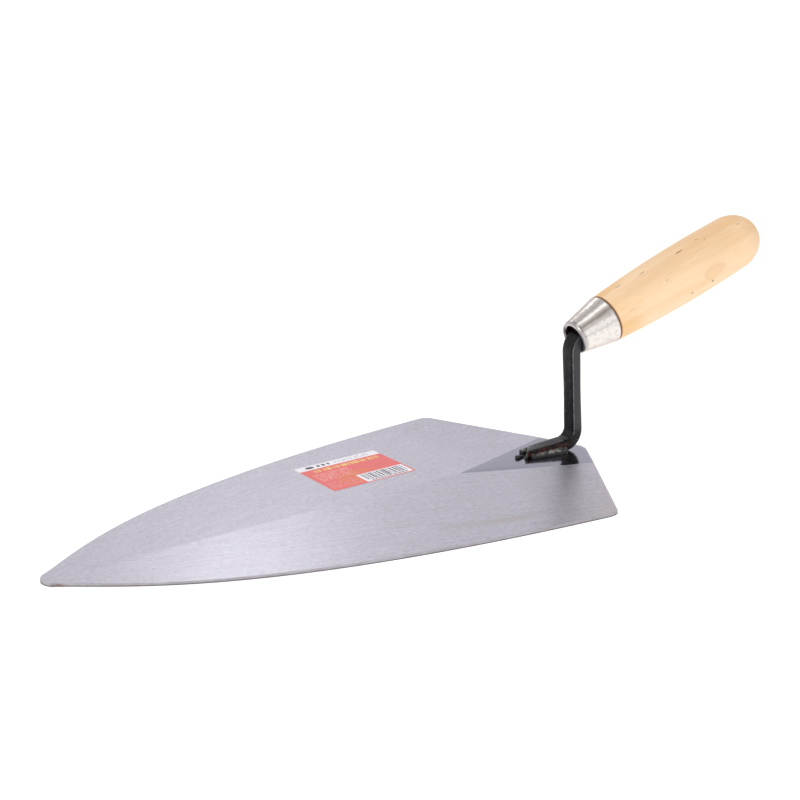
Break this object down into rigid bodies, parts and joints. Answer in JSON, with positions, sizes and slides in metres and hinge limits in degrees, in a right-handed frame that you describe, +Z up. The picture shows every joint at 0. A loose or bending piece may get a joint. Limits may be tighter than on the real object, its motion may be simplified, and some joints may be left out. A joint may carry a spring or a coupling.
{
  "type": "brick trowel",
  "caption": "Brick trowel: crowned steel blade with a cranked tang welded on, a metal ferrule and a turned wooden handle, for spreading mortar.",
  "frame": {"origin": "on the plane of the blade's rim, midway between the blade's tip and the handle's butt", "axes": "+X from the blade's tip to the handle's butt, +Z up from the blade to the handle"},
  "size_m": [0.431, 0.1658, 0.1138],
  "materials": {
    "blade_steel": "ground and lacquered, fine scratches running out from the ridge",
    "tang_paint": "glossy black lacquer over a rough forging",
    "weld_metal": "weld bead, dark and rippled",
    "ferrule_plate": "bright plated sheet, lightly scratched",
    "handle_wood": "pale hardwood, smooth and lightly varnished",
    "label_print": "printed foil, satin"
  },
  "bodies": {
    "root": {"blade": "blade_steel", "tang": "tang_paint", "weld_near": "weld_metal", "weld_far": "weld_metal", "weld_nose": "weld_metal", "weld_spatter": "weld_metal", "ferrule": "ferrule_plate", "handle": "handle_wood", "label": "label_print"}
  },
  "joints": []
}
